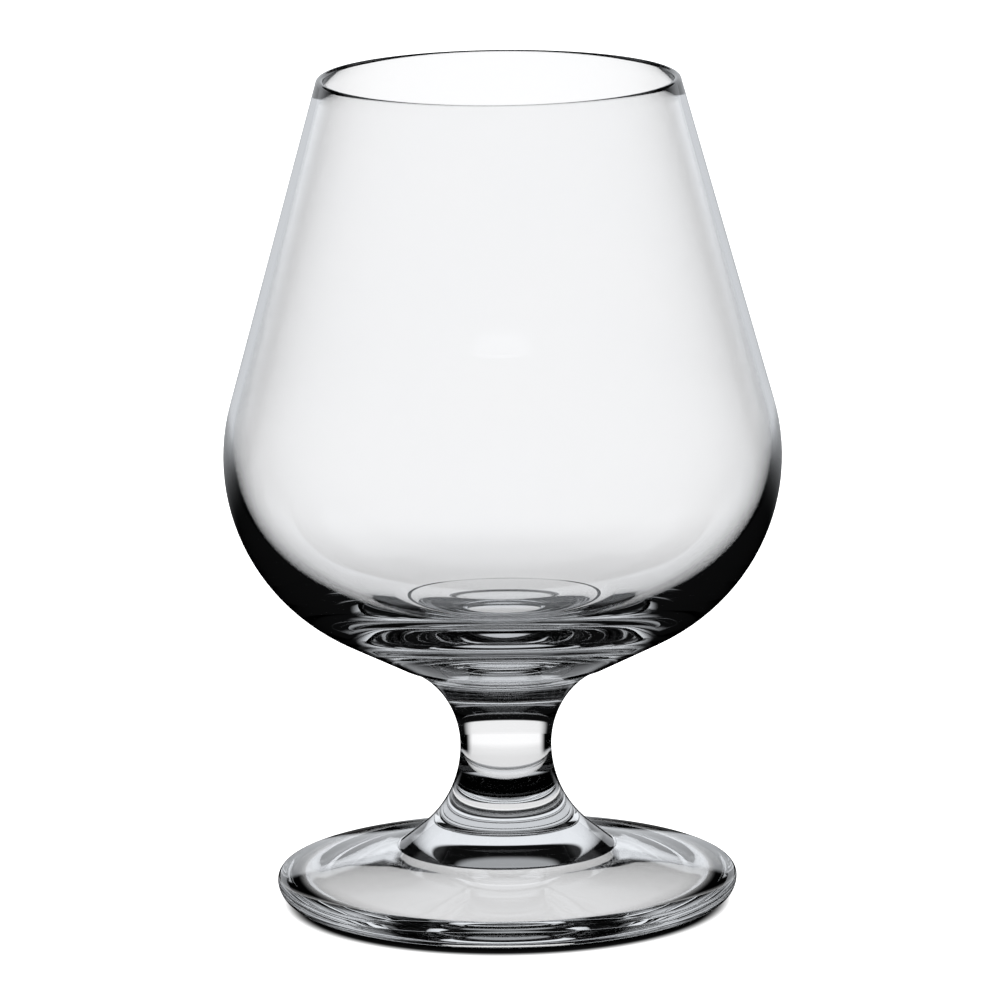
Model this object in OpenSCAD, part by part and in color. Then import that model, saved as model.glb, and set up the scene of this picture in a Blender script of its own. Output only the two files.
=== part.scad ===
// A brandy snifter of clear glass: a wide bowl that narrows to its rim, a short stem and a round foot.
// Real size in millimetres, upright, the axis along Z, the standing ring at z = 0.
// Every outline is drawn in the half plane r, z as straight lines and true arcs, then turned about the axis.

/* [Whole glass] */
// Height over all
glass_h = 125.5; // [90:0.5:180]
// Outside diameter of the bowl at its widest
bowl_d = 84; // [60:0.5:120]

/* [Bowl, outside] */
// Outside diameter at the rim
rim_d = 54.6; // [30:0.2:90]
// Radius of the curve round the widest place, seen from the side
belly_curve = 30.2; // [15:0.1:45]
// Slope of the straight run from the belly in to the stem, from upright, in degrees
base_slope = 63; // [40:0.2:75]

/* [Bowl, inside] */
// Thickness of the wall at the rim, which is melted round
rim_wall = 1.2; // [0.8:0.05:3]
// Thickness of the wall where the belly turns into the taper
belly_wall = 1.2; // [0.8:0.05:4]
// Thickness of the wall where the belly turns in to the stem
low_wall = 4.4; // [1.5:0.1:9]
// Radius of the shallow curve of the inside bottom
floor_curve = 80; // [50:1:200]

/* [Stem] */
// Height of the stem from the foot to the bowl
stem_h = 28.4; // [16:0.1:80]
// Height of the narrowest place above the foot
neck_rise = 15.5; // [8:0.1:50]
// Diameter at the narrowest place
neck_d = 13.8; // [6:0.1:24]
// Diameter of the joint with the bowl
bowl_joint_d = 32.6; // [16:0.1:50]
// Diameter of the joint with the foot
foot_joint_d = 33.2; // [24:0.1:50]
// Share that the flare's curve takes of the largest that fits; the rest of the flare is straight
flare_share = 0.95; // [0.4:0.01:0.98]
// Radius of the small hollow curve that runs out on the foot
flare_foot_curve = 1.2; // [1:0.1:8]

/* [Foot] */
// Diameter of the foot
foot_d = 69.6; // [50:0.2:100]
// Height of the foot in the middle, where the stem stands on it
foot_h = 8; // [6:0.1:16]
// Radius of the rounding over the edge of the foot
edge_top_round = 1.5; // [0.5:0.1:3]
// Radius of the rounding under the edge of the foot
edge_low_round = 3; // [0.5:0.1:4]
// Width of the flat ring that the glass stands on
ring_w = 2; // [0.5:0.1:8]
// Height of the hollow under the middle of the foot
hollow_h = 4.5; // [0.5:0.1:6]

/* [Shown] */
// The piece to show

/* [Hidden] */
facets = 96;
facets_flat = 256;
cut_over = 1;
glass_tint = [0.86, 0.9, 0.92, 0.4];

bowl_r = bowl_d / 2;
neck_r = neck_d / 2;
foot_r = foot_d / 2;

// The point at an angle on a circle with centre c and radius r
function on(c, r, a) = [c[0] + r * cos(a), c[1] + r * sin(a)];
// The angle, seen from c, of the place where the line from point p touches the circle, on one side or the other
function touch(c, r, p, side) =
    atan2(p[1] - c[1], p[0] - c[0]) + side * acos(r / norm(p - c));

// The two joints, as points of the outline
foot_joint = [foot_joint_d / 2, foot_h];
bowl_joint = [bowl_joint_d / 2, foot_h + stem_h];

// Outside of the bowl: the height of the belly follows from the slope of the run below it
rim_bead = rim_wall / 2;
rim_out = [rim_d / 2, glass_h - rim_bead];
rim_in = rim_out - [rim_wall, 0];
rim_mid = rim_out - [rim_bead, 0];
belly_in = bowl_r - belly_curve;
belly_rise = (belly_curve + cos(base_slope) * (belly_in - bowl_joint[0])) / sin(base_slope);
belly_c = [belly_in, bowl_joint[1] + belly_rise];
belly_top_a = touch(belly_c, belly_curve, rim_out, -1);
belly_low_a = -base_slope;

// Inside of the bowl: its curve lies off the outer one, so that the wall grows towards the stem
wall_shift = (low_wall - belly_wall) / (1 - cos(belly_top_a - belly_low_a));
cavity_curve = belly_curve - belly_wall - wall_shift;
cavity_c = on(belly_c, wall_shift, belly_top_a);
cavity_top_a = touch(cavity_c, cavity_curve, rim_in, -1);
floor_c = [0, cavity_c[1] + sqrt(pow(floor_curve - cavity_curve, 2) - pow(cavity_c[0], 2))];
floor_a = atan2(cavity_c[1] - floor_c[1], cavity_c[0]);

// Top of the foot: a straight fall from the joint to the rounding of the edge
edge_top_c = [foot_r - edge_top_round, edge_low_round];
edge_low_c = [foot_r - edge_low_round, edge_low_round];
edge_top_a = touch(edge_top_c, edge_top_round, foot_joint, -1);
crown_fall = 90 - edge_top_a;
ring_in = foot_r - edge_low_round - ring_w;
hollow_curve = (ring_in * ring_in + hollow_h * hollow_h) / (2 * hollow_h);

// Hollow side of the stem above its narrowest place
neck_h = foot_h + neck_rise;
rise = bowl_joint[1] - neck_h;
spread = bowl_joint[0] - neck_r;
top_curve = (rise * rise + spread * spread) / (2 * spread);
top_c = [neck_r + top_curve, neck_h];
top_a = atan2(rise, spread - top_curve);

// Below it, from the foot up: the small curve, the straight flare, and the curve that turns the flare upright
run_c = on(foot_joint, flare_foot_curve, edge_top_a);
run_out = run_c - [neck_r, neck_h];
flare_limit = (run_out * run_out - pow(flare_foot_curve, 2)) / (2 * (run_out[0] - flare_foot_curve));
flare_curve = flare_share * flare_limit;
low_c = [neck_r + flare_curve, neck_h];
lean = low_c - run_c;
flare_slope = atan2(lean[1], lean[0]) - acos((flare_curve - flare_foot_curve) / norm(lean));
run_top = on(run_c, flare_foot_curve, 180 + flare_slope);
low_end = on(low_c, flare_curve, 180 + flare_slope);

// The part of a circle beyond its chord from angle a to angle b
module cap(c, r, a, b) {
    m = (a + b) / 2;
    far = (r + cut_over) / cos((b - a) / 2);
    intersection() {
        translate(c) circle(r = r, $fn = facets);
        polygon([on(c, r, a), on(c, far, (3 * a + m) / 4), on(c, far, m), on(c, far, (3 * b + m) / 4), on(c, r, b)]);
    }
}

module bowl_outline() {
    polygon([
        [0, bowl_joint[1]],
        bowl_joint,
        on(belly_c, belly_curve, belly_low_a),
        on(belly_c, belly_curve, belly_top_a),
        rim_out,
        [0, rim_out[1]]
    ]);
    cap(belly_c, belly_curve, belly_low_a, belly_top_a);
}

module cavity_outline() {
    polygon([
        [0, floor_c[1] - floor_curve],
        on(floor_c, floor_curve, floor_a),
        on(cavity_c, cavity_curve, cavity_top_a),
        rim_in,
        rim_in + [0, rim_wall],
        [0, glass_h + rim_wall]
    ]);
    cap(cavity_c, cavity_curve, floor_a, cavity_top_a);
    intersection() {
        cap(floor_c, floor_curve, -180 - floor_a, floor_a);
        square([bowl_r, glass_h]);
    }
}

// The rim's round bead goes a little way into the wall below it
module bowl() {
    color(glass_tint)
        rotate_extrude($fn = facets) {
            difference() {
                bowl_outline();
                cavity_outline();
            }
            translate(rim_mid) circle(r = rim_bead, $fn = facets);
        }
}

module stem() {
    color(glass_tint)
        rotate_extrude($fn = facets)
            difference() {
                polygon([
                    [0, foot_h],
                    foot_joint,
                    run_top,
                    low_end,
                    [neck_r, neck_h],
                    bowl_joint,
                    [0, bowl_joint[1]]
                ]);
                cap(top_c, top_curve, top_a, 180);
                cap(low_c, flare_curve, 180, 180 + flare_slope);
                cap(run_c, flare_foot_curve, 180 + flare_slope, 180 + edge_top_a);
            }
}

module foot() {
    color(glass_tint)
        rotate_extrude($fn = facets) {
            difference() {
                polygon([
                    [0, 0],
                    [edge_low_c[0], 0],
                    [foot_r, edge_low_round],
                    on(edge_top_c, edge_top_round, edge_top_a),
                    foot_joint,
                    [0, foot_h]
                ]);
                intersection() {
                    translate([0, hollow_h - hollow_curve]) circle(r = hollow_curve, $fn = facets_flat);
                    translate([0, -cut_over]) square([foot_r, hollow_h + 2 * cut_over]);
                }
            }
            cap(edge_top_c, edge_top_round, 0, edge_top_a);
            cap(edge_low_c, edge_low_round, -90, 0);
        }
}

bowl();
stem();
foot();
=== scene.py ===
# The looks of a clear brandy snifter: the glass in three blown and pressed pieces, on a white studio table.

import math

import bpy
from mathutils import Euler, Matrix


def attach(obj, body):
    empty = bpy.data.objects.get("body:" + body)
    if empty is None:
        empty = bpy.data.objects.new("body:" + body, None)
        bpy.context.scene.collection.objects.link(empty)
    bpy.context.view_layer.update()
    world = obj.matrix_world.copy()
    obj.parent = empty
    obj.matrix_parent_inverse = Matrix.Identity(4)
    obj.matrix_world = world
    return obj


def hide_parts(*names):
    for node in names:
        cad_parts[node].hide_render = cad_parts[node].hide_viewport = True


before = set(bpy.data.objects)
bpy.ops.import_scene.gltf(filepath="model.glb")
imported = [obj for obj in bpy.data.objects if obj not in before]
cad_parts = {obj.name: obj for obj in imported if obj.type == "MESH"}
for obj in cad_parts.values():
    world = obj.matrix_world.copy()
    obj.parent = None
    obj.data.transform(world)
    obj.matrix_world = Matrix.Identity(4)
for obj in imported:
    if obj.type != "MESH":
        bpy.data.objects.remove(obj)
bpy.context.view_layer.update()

MM = 0.001

# Sizes of the glass, as in its drawing, in millimetres and degrees
GLASS_H = 125.5
BOWL_D = 84.0
RIM_D = 54.6
BELLY_CURVE = 30.2
BASE_SLOPE = 63.0
RIM_WALL = 1.2
BELLY_WALL = 1.2
LOW_WALL = 4.4
FLOOR_CURVE = 80.0
STEM_H = 28.4
NECK_RISE = 15.5
NECK_D = 13.8
BOWL_JOINT_D = 32.6
FOOT_JOINT_D = 33.2
FLARE_SHARE = 0.95
FLARE_FOOT_CURVE = 1.2
FOOT_D = 69.6
FOOT_H = 8.0
EDGE_TOP_ROUND = 1.5
EDGE_LOW_ROUND = 3.0
RING_W = 2.0
HOLLOW_H = 4.5

# How finely the outline and the turn about the axis are divided
TURN_STEPS = 200
FLAT_STEP = 2.5
ARC_STEP = 3.0
HOLLOW_STEPS = 12

# How close two places in the mesh count as one, and how level a face is that counts as a joint
SAME_PLACE = 0.002
JOINT_REACH = 0.001
LEVEL_SHARE = 0.99

# Clear soda glass
GLASS_IOR = 1.52
LIGHT_GLASS = (0.995, 0.996, 0.998, 1)
DEEP_GLASS = (0.985, 0.99, 0.996, 1)


def on_circle(centre, radius, angle):
    a = math.radians(angle)
    return (centre[0] + radius * math.cos(a), centre[1] + radius * math.sin(a))


def angle_of(centre, point):
    return math.degrees(math.atan2(point[1] - centre[1], point[0] - centre[0]))


def touch_angle(centre, radius, point, side):
    reach = math.hypot(point[0] - centre[0], point[1] - centre[1])
    return angle_of(centre, point) + side * math.degrees(math.acos(radius / reach))


def arc(centre, radius, start, end):
    """Points of the outline along an arc, both ends included."""
    steps = max(4, round(abs(end - start) / ARC_STEP))
    return [on_circle(centre, radius, start + (end - start) * i / steps) for i in range(steps + 1)]


def run(start, end):
    """Points inside a straight run of the outline, without its ends."""
    steps = max(1, round(math.hypot(end[0] - start[0], end[1] - start[1]) / FLAT_STEP))
    return [
        (start[0] + (end[0] - start[0]) * i / steps, start[1] + (end[1] - start[1]) * i / steps)
        for i in range(1, steps)
    ]


# The two places where the pieces are melted together
foot_joint = (FOOT_JOINT_D / 2, FOOT_H)
bowl_joint = (BOWL_JOINT_D / 2, FOOT_H + STEM_H)


def bowl_outline():
    """From the middle of the joint, up the outside, over the rim and down the inside."""
    bead = RIM_WALL / 2
    rim_out = (RIM_D / 2, GLASS_H - bead)
    rim_in = (rim_out[0] - RIM_WALL, rim_out[1])
    rim_mid = (rim_out[0] - bead, rim_out[1])
    slope = math.radians(BASE_SLOPE)
    belly_in = BOWL_D / 2 - BELLY_CURVE
    belly_rise = (BELLY_CURVE + math.cos(slope) * (belly_in - bowl_joint[0])) / math.sin(slope)
    belly = (belly_in, bowl_joint[1] + belly_rise)
    belly_top = touch_angle(belly, BELLY_CURVE, rim_out, -1)
    shift = (LOW_WALL - BELLY_WALL) / (1 - math.cos(math.radians(belly_top + BASE_SLOPE)))
    curve = BELLY_CURVE - BELLY_WALL - shift
    cavity = on_circle(belly, shift, belly_top)
    cavity_top = touch_angle(cavity, curve, rim_in, -1)
    floor = (0, cavity[1] + math.sqrt((FLOOR_CURVE - curve) ** 2 - cavity[0] ** 2))
    floor_end = angle_of(floor, cavity)
    outside = arc(belly, BELLY_CURVE, -BASE_SLOPE, belly_top)
    rim = arc(rim_mid, bead, belly_top, 180 - belly_top)
    inside = arc(cavity, curve, cavity_top, floor_end)
    bottom = arc(floor, FLOOR_CURVE, floor_end, -90)[1:]
    outline = run((0, bowl_joint[1]), bowl_joint)
    outline = [(0, bowl_joint[1])] + outline + [bowl_joint] + run(bowl_joint, outside[0]) + outside
    outline += run(outside[-1], rim[0]) + rim + run(rim[-1], inside[0]) + inside
    return outline + bottom


def stem_outline():
    """From the middle of the joint with the foot, up the waisted side, to the middle of the upper joint."""
    neck = (NECK_D / 2, FOOT_H + NECK_RISE)
    rise = bowl_joint[1] - neck[1]
    spread = bowl_joint[0] - neck[0]
    top_curve = (rise**2 + spread**2) / (2 * spread)
    top = (neck[0] + top_curve, neck[1])
    edge_top = (FOOT_D / 2 - EDGE_TOP_ROUND, EDGE_LOW_ROUND)
    fall = touch_angle(edge_top, EDGE_TOP_ROUND, foot_joint, -1)
    run_out = on_circle(foot_joint, FLARE_FOOT_CURVE, fall)
    off = (run_out[0] - neck[0], run_out[1] - neck[1])
    limit = (off[0] ** 2 + off[1] ** 2 - FLARE_FOOT_CURVE**2) / (2 * (off[0] - FLARE_FOOT_CURVE))
    flare_curve = FLARE_SHARE * limit
    flare = (neck[0] + flare_curve, neck[1])
    apart = math.hypot(flare[0] - run_out[0], flare[1] - run_out[1])
    lean = angle_of(run_out, flare) - math.degrees(math.acos((flare_curve - FLARE_FOOT_CURVE) / apart))
    low = arc(run_out, FLARE_FOOT_CURVE, 180 + fall, 180 + lean)
    middle = arc(flare, flare_curve, 180 + lean, 180)
    upper = arc(top, top_curve, 180, 180 - math.degrees(math.atan2(rise, top_curve - spread)))
    outline = [(0, FOOT_H)] + run((0, FOOT_H), foot_joint) + low + run(low[-1], middle[0]) + middle
    outline += upper[1:] + run(bowl_joint, (0, bowl_joint[1]))
    return outline + [(0, bowl_joint[1])]


def foot_outline():
    """From the middle of the hollow underneath, over the ring and the edge, to the middle of the joint."""
    ring_in = FOOT_D / 2 - EDGE_LOW_ROUND - RING_W
    hollow_curve = (ring_in**2 + HOLLOW_H**2) / (2 * HOLLOW_H)
    hollow = (0, HOLLOW_H - hollow_curve)
    hollow_end = angle_of(hollow, (ring_in, 0))
    edge_low = (FOOT_D / 2 - EDGE_LOW_ROUND, EDGE_LOW_ROUND)
    edge_top = (FOOT_D / 2 - EDGE_TOP_ROUND, EDGE_LOW_ROUND)
    fall = touch_angle(edge_top, EDGE_TOP_ROUND, foot_joint, -1)
    spread = (hollow_end - 90) / HOLLOW_STEPS
    outline = [on_circle(hollow, hollow_curve, 90 + spread * i) for i in range(HOLLOW_STEPS + 1)]
    outline += arc(edge_low, EDGE_LOW_ROUND, -90, 0)
    outline += arc(edge_top, EDGE_TOP_ROUND, 0, fall)[1:]
    outline += run(outline[-1], foot_joint) + [foot_joint]
    return outline + run(foot_joint, (0, FOOT_H)) + [(0, FOOT_H)]


def deselect():
    if bpy.context.object and bpy.context.object.mode == "EDIT":
        bpy.ops.object.mode_set(mode="OBJECT")
    bpy.ops.object.select_all(action="DESELECT")


def turned(name, outline):
    """A closed piece: one corner is drawn out along the outline, then spun about the axis."""
    deselect()
    start = outline[0]
    bpy.ops.mesh.primitive_plane_add(size=MM, location=(0, 0, 0))
    piece = bpy.context.object
    piece.name = name
    bpy.ops.object.mode_set(mode="EDIT")
    bpy.ops.mesh.merge(type="CENTER")
    bpy.ops.transform.translate(value=(start[0] * MM, 0, start[1] * MM))
    for before, after in zip(outline, outline[1:]):
        step = ((after[0] - before[0]) * MM, 0, (after[1] - before[1]) * MM)
        bpy.ops.mesh.extrude_region_move(TRANSFORM_OT_translate={"value": step})
    bpy.ops.mesh.select_all(action="SELECT")
    bpy.ops.mesh.spin(steps=TURN_STEPS, angle=2 * math.pi, center=(0, 0, 0), axis=(0, 0, 1))
    bpy.ops.mesh.select_all(action="SELECT")
    bpy.ops.mesh.remove_doubles(threshold=SAME_PLACE * MM)
    bpy.ops.mesh.normals_make_consistent(inside=False)
    bpy.ops.object.mode_set(mode="OBJECT")
    bpy.ops.object.shade_smooth()
    return piece


def nodes_of(name):
    material = bpy.data.materials.new(name)
    material.use_nodes = True
    nodes = material.node_tree.nodes
    links = material.node_tree.links
    return material, nodes, links


def clear_glass(name, wave, depth):
    """Polished soda glass: colourless, with the faint waves that its making leaves."""
    material, nodes, links = nodes_of(name)
    shader = nodes["Principled BSDF"]
    shader.inputs["Transmission Weight"].default_value = 1
    shader.inputs["IOR"].default_value = GLASS_IOR
    shader.inputs["Roughness"].default_value = 0
    place = nodes.new("ShaderNodeTexCoord")
    waves = nodes.new("ShaderNodeTexNoise")
    waves.inputs["Scale"].default_value = wave
    waves.inputs["Detail"].default_value = 1
    bump = nodes.new("ShaderNodeBump")
    bump.inputs["Strength"].default_value = 1
    bump.inputs["Distance"].default_value = depth * MM
    tint = nodes.new("ShaderNodeMix")
    tint.data_type = "RGBA"
    tint.inputs["A"].default_value = LIGHT_GLASS
    tint.inputs["B"].default_value = DEEP_GLASS
    links.new(place.outputs["Object"], waves.inputs["Vector"])
    links.new(waves.outputs["Fac"], bump.inputs["Height"])
    links.new(bump.outputs["Normal"], shader.inputs["Normal"])
    links.new(waves.outputs["Fac"], tint.inputs["Factor"])
    links.new(tint.outputs["Result"], shader.inputs["Base Color"])
    return material


def melted_joint():
    """Where two pieces are melted together nothing shows, so the light goes straight on."""
    material, nodes, _ = nodes_of("melted_joint")
    shader = nodes["Principled BSDF"]
    shader.inputs["Alpha"].default_value = 0
    return material


def joint_faces(piece, height, slot):
    """Gives the flat disc at that height, where the piece is melted to its neighbour, the second slot."""
    for face in piece.data.polygons:
        at_height = abs(face.center.z - height * MM) < JOINT_REACH * MM
        if at_height and abs(face.normal.z) > LEVEL_SHARE:
            face.material_index = slot


# The waves grow finer and deeper from the blown bowl to the pressed foot
blown = clear_glass("blown_glass", wave=60, depth=0.002)
drawn = clear_glass("drawn_glass", wave=120, depth=0.006)
pressed = clear_glass("pressed_glass", wave=160, depth=0.012)
joint = melted_joint()

PIECES = (
    ("bowl", bowl_outline(), blown),
    ("stem", stem_outline(), drawn),
    ("foot", foot_outline(), pressed),
)
for name, outline, glass in PIECES:
    piece = turned("glass_" + name, outline)
    piece.data.materials.append(glass)
    piece.data.materials.append(joint)
    if name != "foot":
        joint_faces(piece, bowl_joint[1], 1)
    if name != "bowl":
        joint_faces(piece, foot_joint[1], 1)
    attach(piece, "root")
    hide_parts(name)

# Studio, as glass is photographed: a white table and backdrop, with the rest of the room left dark.
# A pair says where a brightness starts to change and where the change ends. On the table it is in metres
# from the middle of the foot or, for the turns and the shade painted at the sides, the share of that way that
# leads backward.
# In the room it is a part of a unit direction.
# Light that went straight through the glass meets painted light and shade on the table: white under the foot,
# a painted shadow ring, and white beyond it that brightens further out
WHITE_NEAR = 0.82
WHITE_FAR = 1.1
NEAR_TO_FAR = (0.05, 0.17)
UNDER_FOOT = (0.0285, 0.0310)
PAST_PAINTED_SHADOW = (0.0345, 0.0420)
# Black where the foot's shadow is painted into the table's colour, and the table's own colour elsewhere
CLOTH_IN_PAINTED_SHADOW = (0.01, 0.01, 0.01, 1)
CLOTH_LIT = (0.8, 0.8, 0.8, 1)

# Shade painted at the sides, on the table and in the room in place of dark cards, for light that went through
# fewer than this many surfaces
PAINTED_DARK_SURFACES = 3
PAINTED_DARK_FRONT = (0.05, 0.20)
PAINTED_DARK_BACK = (0.84, 0.68)
PAINTED_DARK_OUT = (0.045, 0.065)

# What mirrored light meets on the table, as painted light: white far behind, a painted patch around the foot,
# a painted patch in front
BEHIND_WHITE = 0.65
BEHIND_TURN = (0.55, 0.90)
BEHIND_OUT = (0.2, 0.5)
AROUND_WHITE = 0.7
AROUND_START = (0.022, 0.030)
AROUND_END = (0.075, 0.055)
AROUND_TURN = (0.86, 0.97)
FRONT_WHITE = 0.6
FRONT_OUT = (0.018, 0.012)
FRONT_TURN = (0.1, -0.3)

# The room: a backdrop low down behind the glass, a softbox above it, and a pale horizon all round
BACKDROP_WHITE = 0.95
BACKDROP_TOP = (0.30, 0.26)
BACKDROP_WIDE = (0.60, 0.85)
SOFTBOX_WHITE = 0.38
SOFTBOX_LOW = (0.50, 0.60)
SOFTBOX_TOP = (0.80, 0.72)
SOFTBOX_WIDE = (0.25, 0.40)
HORIZON = (0.10, 0.02)
ROOM_DARK = 0.004
ROOM_FILL = 0.6

# Colours of light that went straight on and that was mirrored in the glass
STRAIGHT_TINT = (0.995, 0.995, 1.0, 1)
MIRRORED_TINT = (0.93, 0.96, 1.0, 1)

# The foot's tight shadow, painted on the table, in millimetres
PAINTED_SHADOW_SHIFT = 3.5
PAINTED_SHADOW_IN = 31.5
PAINTED_SHADOW_OUT = 34.5

TABLE_SIZE = 12
LAMP_HEIGHT = 1.2
LAMP_SIZE = 1.6
LAMP_POWER = 12
LIGHT_BOUNCES = 48


def worked(tree, operation, *values):
    """One sum in a shader. Its values are numbers or what other nodes give."""
    node = tree.nodes.new("ShaderNodeMath")
    node.operation = operation
    for socket, value in zip(node.inputs, values):
        if isinstance(value, (int, float)):
            socket.default_value = value
        else:
            tree.links.new(value, socket)
    return node.outputs[0]


def eased(tree, value, start, end, low=0, high=1):
    """Goes smoothly from low to high while the value goes from start to end."""
    node = tree.nodes.new("ShaderNodeMapRange")
    node.interpolation_type = "SMOOTHSTEP"
    node.inputs["From Min"].default_value = start
    node.inputs["From Max"].default_value = end
    node.inputs["To Min"].default_value = low
    node.inputs["To Max"].default_value = high
    tree.links.new(value, node.inputs["Value"])
    return node.outputs["Result"]


def split(tree, vector):
    node = tree.nodes.new("ShaderNodeSeparateXYZ")
    tree.links.new(vector, node.inputs[0])
    return node.outputs


def length_of(tree, x, y):
    return worked(tree, "SQRT", worked(tree, "ADD", worked(tree, "POWER", x, 2), worked(tree, "POWER", y, 2)))


def either(tree, bounced, plain, mirrored):
    """Light that was mirrored in or on the glass meets one value, and straight light the other."""
    share = worked(tree, "MINIMUM", bounced, 1)
    straight = worked(tree, "MULTIPLY", worked(tree, "SUBTRACT", 1, share), plain)
    return worked(tree, "ADD", straight, worked(tree, "MULTIPLY", share, mirrored))


def tinted(tree, bounced):
    """Light that was mirrored in the glass comes out a little blue."""
    node = tree.nodes.new("ShaderNodeMix")
    node.data_type = "RGBA"
    node.inputs["A"].default_value = STRAIGHT_TINT
    node.inputs["B"].default_value = MIRRORED_TINT
    tree.links.new(worked(tree, "MINIMUM", bounced, 1), node.inputs["Factor"])
    return node.outputs["Result"]


def passed_once(tree, path, across):
    """Shade painted at the sides in place of dark cards, met by light that went through one thick piece and
    was bent far aside.
    """
    painted_dark = worked(tree, "MULTIPLY", eased(tree, across, *PAINTED_DARK_FRONT), eased(tree, across, *PAINTED_DARK_BACK))
    once = worked(tree, "LESS_THAN", path["Transmission Depth"], PAINTED_DARK_SURFACES)
    return worked(tree, "MULTIPLY", painted_dark, once)


def white_table():
    """White to the eye, with a tight shadow painted under the foot. The glass meets painted light and shade,
    white and dark.
    """
    material, nodes, links = nodes_of("white_table")
    tree = material.node_tree
    cloth = nodes["Principled BSDF"]
    cloth.inputs["Roughness"].default_value = 1
    cloth.inputs["Specular IOR Level"].default_value = 0
    cloth.inputs["Emission Color"].default_value = (1, 1, 1, 1)
    path = nodes.new("ShaderNodeLightPath").outputs
    place = split(tree, nodes.new("ShaderNodeTexCoord").outputs["Object"])
    x, y = place[0], place[1]
    out = length_of(tree, x, y)
    turn = worked(tree, "DIVIDE", y, out)
    # The foot's tight shadow is painted into the table's colour and glow, as a dark disc shifted forward
    painted_shadow_out = length_of(tree, x, worked(tree, "ADD", y, PAINTED_SHADOW_SHIFT * MM))
    lit = eased(tree, painted_shadow_out, PAINTED_SHADOW_IN * MM, PAINTED_SHADOW_OUT * MM)
    shade = nodes.new("ShaderNodeMix")
    shade.data_type = "RGBA"
    shade.inputs["A"].default_value = CLOTH_IN_PAINTED_SHADOW
    shade.inputs["B"].default_value = CLOTH_LIT
    links.new(lit, shade.inputs["Factor"])
    links.new(shade.outputs["Result"], cloth.inputs["Base Color"])
    links.new(worked(tree, "MULTIPLY", lit, path["Is Camera Ray"]), cloth.inputs["Emission Strength"])
    # The glow that only the glass meets is painted light and shade on the table
    near = eased(tree, out, *NEAR_TO_FAR, WHITE_NEAR, WHITE_FAR)
    under = eased(tree, out, *UNDER_FOOT, 1, 0)
    past_painted_shadow = eased(tree, painted_shadow_out, *PAST_PAINTED_SHADOW)
    # Shade painted on the table at the sides, in place of dark cards
    painted_dark = worked(tree, "MULTIPLY", passed_once(tree, path, turn), eased(tree, out, *PAINTED_DARK_OUT))
    straight = worked(tree, "MULTIPLY", near, worked(tree, "ADD", under, past_painted_shadow))
    straight = worked(tree, "MULTIPLY", straight, worked(tree, "SUBTRACT", 1, painted_dark))
    far_back = eased(tree, out, *BEHIND_OUT, 0, BEHIND_WHITE)
    behind = worked(tree, "MULTIPLY", eased(tree, turn, *BEHIND_TURN), far_back)
    patch_end = eased(tree, out, *AROUND_END, 0, AROUND_WHITE)
    around = worked(tree, "MULTIPLY", eased(tree, out, *AROUND_START), patch_end)
    around = worked(tree, "MULTIPLY", around, eased(tree, turn, *AROUND_TURN))
    close_in = eased(tree, out, *FRONT_OUT, 0, FRONT_WHITE)
    front = worked(tree, "MULTIPLY", close_in, eased(tree, turn, *FRONT_TURN))
    mirrored = worked(tree, "ADD", worked(tree, "ADD", behind, around), front)
    bright = nodes.new("ShaderNodeEmission")
    links.new(tinted(tree, path["Glossy Depth"]), bright.inputs["Color"])
    links.new(either(tree, path["Glossy Depth"], straight, mirrored), bright.inputs["Strength"])
    mix = nodes.new("ShaderNodeMixShader")
    plain = worked(tree, "MAXIMUM", path["Is Camera Ray"], path["Is Diffuse Ray"])
    links.new(plain, mix.inputs[0])
    links.new(bright.outputs[0], mix.inputs[1])
    links.new(cloth.outputs[0], mix.inputs[2])
    links.new(mix.outputs[0], nodes["Material Output"].inputs["Surface"])
    return material


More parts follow.
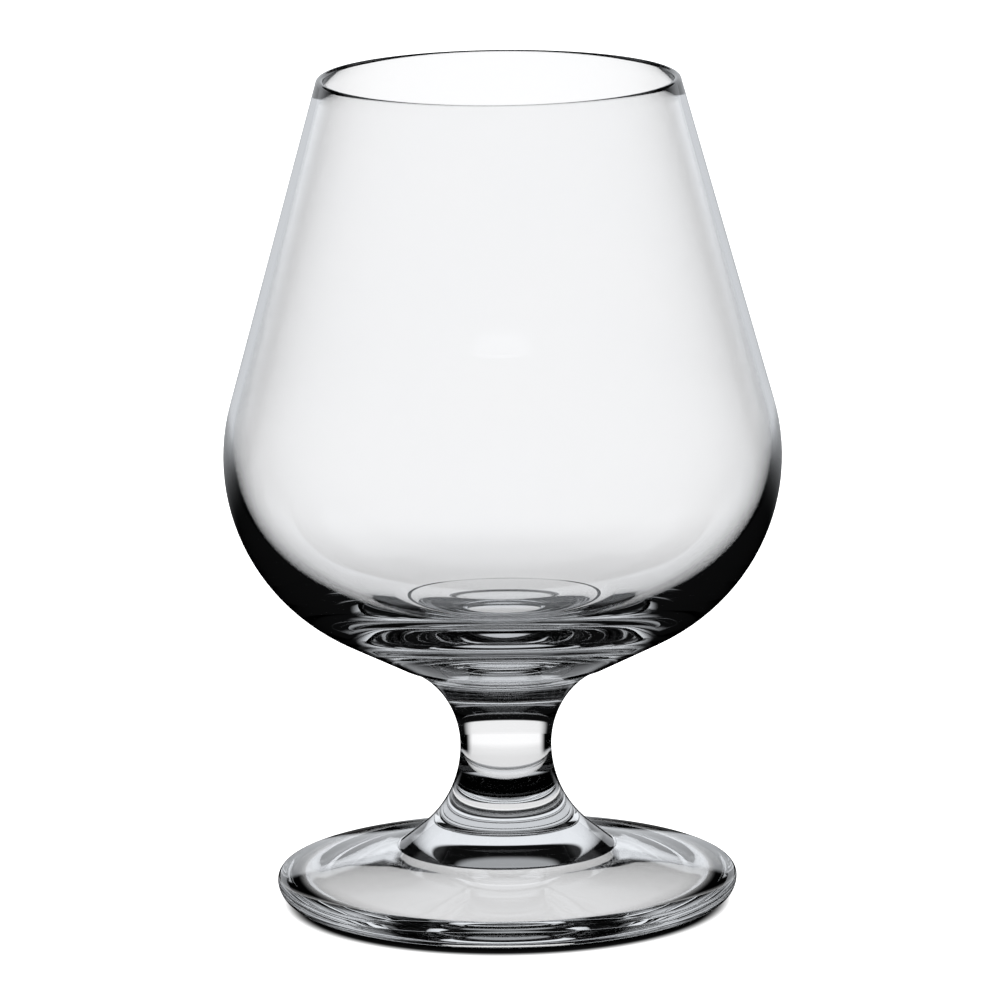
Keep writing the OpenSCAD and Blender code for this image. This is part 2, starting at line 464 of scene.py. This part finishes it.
def studio_world():
    """A white backdrop low behind the glass, a softbox above it, and a dark room around them."""
    world = bpy.data.worlds.new("studio")
    world.use_nodes = True
    tree = world.node_tree
    path = tree.nodes.new("ShaderNodeLightPath").outputs
    way = split(tree, tree.nodes.new("ShaderNodeTexCoord").outputs["Generated"])
    behind = eased(tree, way[1], *BACKDROP_WIDE)
    low = eased(tree, way[2], *BACKDROP_TOP)
    backdrop = worked(tree, "MULTIPLY", worked(tree, "MULTIPLY", behind, low), BACKDROP_WHITE)
    softbox = worked(tree, "MULTIPLY", eased(tree, way[2], *SOFTBOX_LOW), eased(tree, way[2], *SOFTBOX_TOP))
    softbox = worked(tree, "MULTIPLY", softbox, eased(tree, way[1], *SOFTBOX_WIDE, 0, SOFTBOX_WHITE))
    backdrop = worked(tree, "ADD", backdrop, softbox)
    # Shade painted at the sides of the room in place of dark cards, for light bent far aside
    horizon = worked(tree, "SUBTRACT", eased(tree, way[2], *HORIZON), passed_once(tree, path, way[1]))
    straight = worked(tree, "MAXIMUM", backdrop, horizon)
    glass = worked(tree, "ADD", either(tree, path["Glossy Depth"], straight, backdrop), ROOM_DARK)
    plain = worked(tree, "MAXIMUM", path["Is Camera Ray"], path["Is Diffuse Ray"])
    fill = worked(tree, "MULTIPLY", path["Is Diffuse Ray"], ROOM_FILL)
    full = worked(tree, "MAXIMUM", fill, path["Is Camera Ray"])
    room = worked(tree, "MULTIPLY", worked(tree, "SUBTRACT", 1, plain), glass)
    background = tree.nodes["Background"]
    tree.links.new(tinted(tree, path["Glossy Depth"]), background.inputs["Color"])
    tree.links.new(worked(tree, "ADD", room, full), background.inputs["Strength"])
    return world


bpy.ops.mesh.primitive_plane_add(size=TABLE_SIZE, location=(0, 0, 0))
table = bpy.context.object
table.name = "table"
table.data.materials.append(white_table())

bpy.ops.object.light_add(type="AREA", location=(0, 0, LAMP_HEIGHT))
lamp = bpy.context.object
lamp.data.shape = "DISK"
lamp.data.size = LAMP_SIZE
lamp.data.energy = LAMP_POWER
lamp.visible_glossy = False
lamp.visible_transmission = False

bpy.context.scene.world = studio_world()

# Light is followed as long as the thick glass passes it on from side to side
light_paths = bpy.context.scene.cycles
light_paths.max_bounces = LIGHT_BOUNCES
light_paths.transmission_bounces = LIGHT_BOUNCES
light_paths.glossy_bounces = LIGHT_BOUNCES
light_paths.transparent_max_bounces = LIGHT_BOUNCES

# Camera as the photograph was taken: a long lens, a little above the rim
VIEW_DISTANCE = 1.2841
VIEW_HEIGHT = 0.3267
LOOK_DOWN = 11.683
LEAN = 0.647
SIDE = 0.021
LENS = 313.8
SENSOR = 36
SEES_TO = 50
bpy.ops.object.camera_add(location=(0, -VIEW_DISTANCE, VIEW_HEIGHT))
camera = bpy.context.object
aim = Euler((math.radians(90 - LOOK_DOWN), 0, math.radians(SIDE))).to_matrix()
camera.rotation_euler = (aim @ Matrix.Rotation(math.radians(-LEAN), 3, "Z")).to_euler()
camera.data.sensor_width = SENSOR
camera.data.lens = LENS
camera.data.clip_end = SEES_TO
bpy.context.scene.camera = camera

bpy.context.scene.view_settings.view_transform = "Standard"
